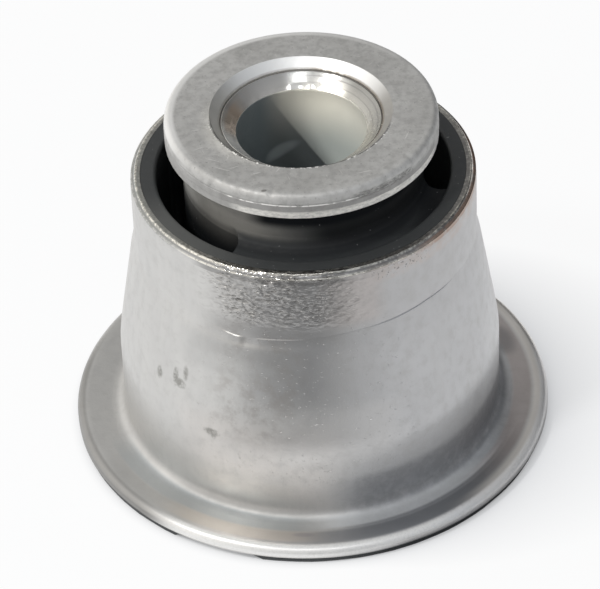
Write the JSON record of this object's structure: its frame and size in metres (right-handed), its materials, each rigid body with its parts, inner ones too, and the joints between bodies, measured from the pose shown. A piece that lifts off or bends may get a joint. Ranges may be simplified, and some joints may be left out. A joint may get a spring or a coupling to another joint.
{
  "type": "flanged rubber metal bush",
  "caption": "Bonded rubber and steel bush: flanged stepped outer sleeve, hollowed rubber body, thick bolt tube headed by a wide washer.",
  "frame": {"origin": "on the bore axis, in the plane that the bush stands on", "axes": "+Z along the bore, from the flange to the washer; the wide web between the two hollows is centred 67.6 degrees clockwise of +X, seen from above"},
  "size_m": [0.063, 0.063, 0.0491],
  "materials": {
    "sleeve_steel": "satin drawn steel",
    "rubber": "matt",
    "washer_steel": "tumbled",
    "tube_steel": "polished mouth"
  },
  "bodies": {
    "root": {"outer_sleeve": "sleeve_steel", "rubber_body": "rubber", "stop_washer": "washer_steel", "inner_tube": "tube_steel"}
  },
  "joints": []
}
